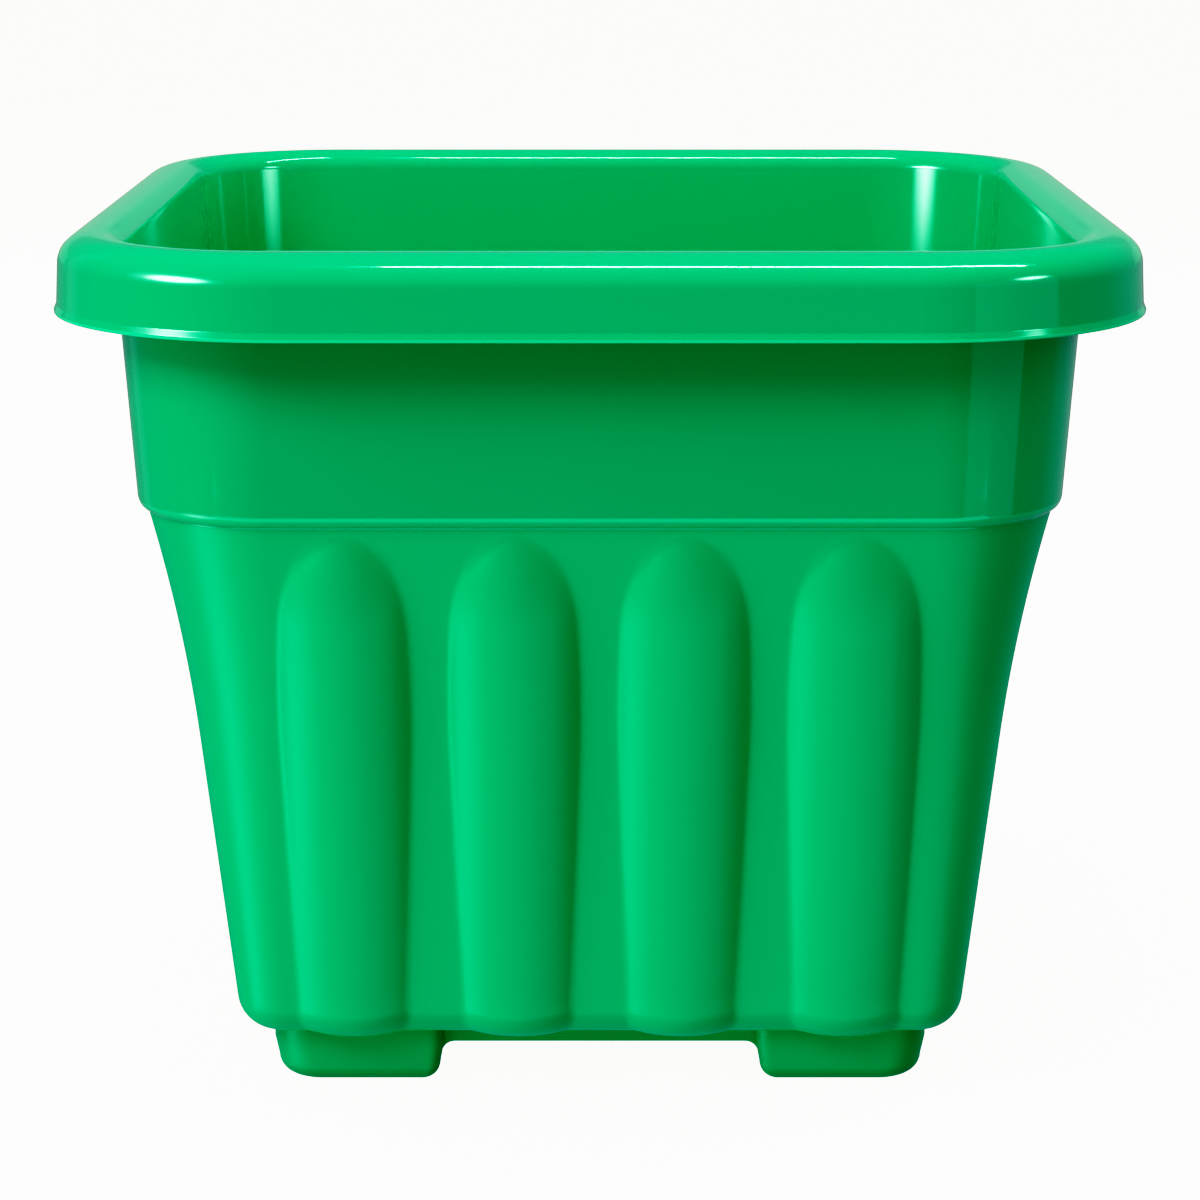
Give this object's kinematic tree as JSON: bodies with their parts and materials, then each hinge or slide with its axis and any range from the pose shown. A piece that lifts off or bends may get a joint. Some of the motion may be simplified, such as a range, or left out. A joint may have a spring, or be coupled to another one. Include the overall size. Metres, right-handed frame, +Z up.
{
  "type": "square garden tub",
  "caption": "Square moulded garden planter with a rolled rim, a fluted front and back, a foot frame pegged under its floor and drain plugs that lift out.",
  "frame": {"origin": "on the ground under the middle of the tub", "axes": "+Z up, front (a fluted side) towards -Y, +X to the right seen from the front"},
  "size_m": [0.4, 0.4, 0.3284],
  "materials": {
    "tub_plastic": "glossy rim and band, satin fluted wall",
    "foot_plastic": "satin",
    "plug_plastic": "fine matt grain"
  },
  "bodies": {
    "tub": {"tub_body": "tub_plastic", "foot_frame": "foot_plastic"},
    "plug_front": {"drain_plug_front": "plug_plastic"},
    "plug_back": {"drain_plug_back": "plug_plastic"},
    "plug_left": {"drain_plug_left": "plug_plastic"},
    "plug_right": {"drain_plug_right": "plug_plastic"}
  },
  "joints": [
    {"name": "plug_front_lift", "type": "slide", "parent": "tub", "child": "plug_front", "axis": [0, 0, 1], "range_m": [0, 0.32]},
    {"name": "plug_back_lift", "type": "slide", "parent": "tub", "child": "plug_back", "axis": [0, 0, 1], "range_m": [0, 0.32]},
    {"name": "plug_left_lift", "type": "slide", "parent": "tub", "child": "plug_left", "axis": [0, 0, 1], "range_m": [0, 0.32]},
    {"name": "plug_right_lift", "type": "slide", "parent": "tub", "child": "plug_right", "axis": [0, 0, 1], "range_m": [0, 0.32]}
  ]
}
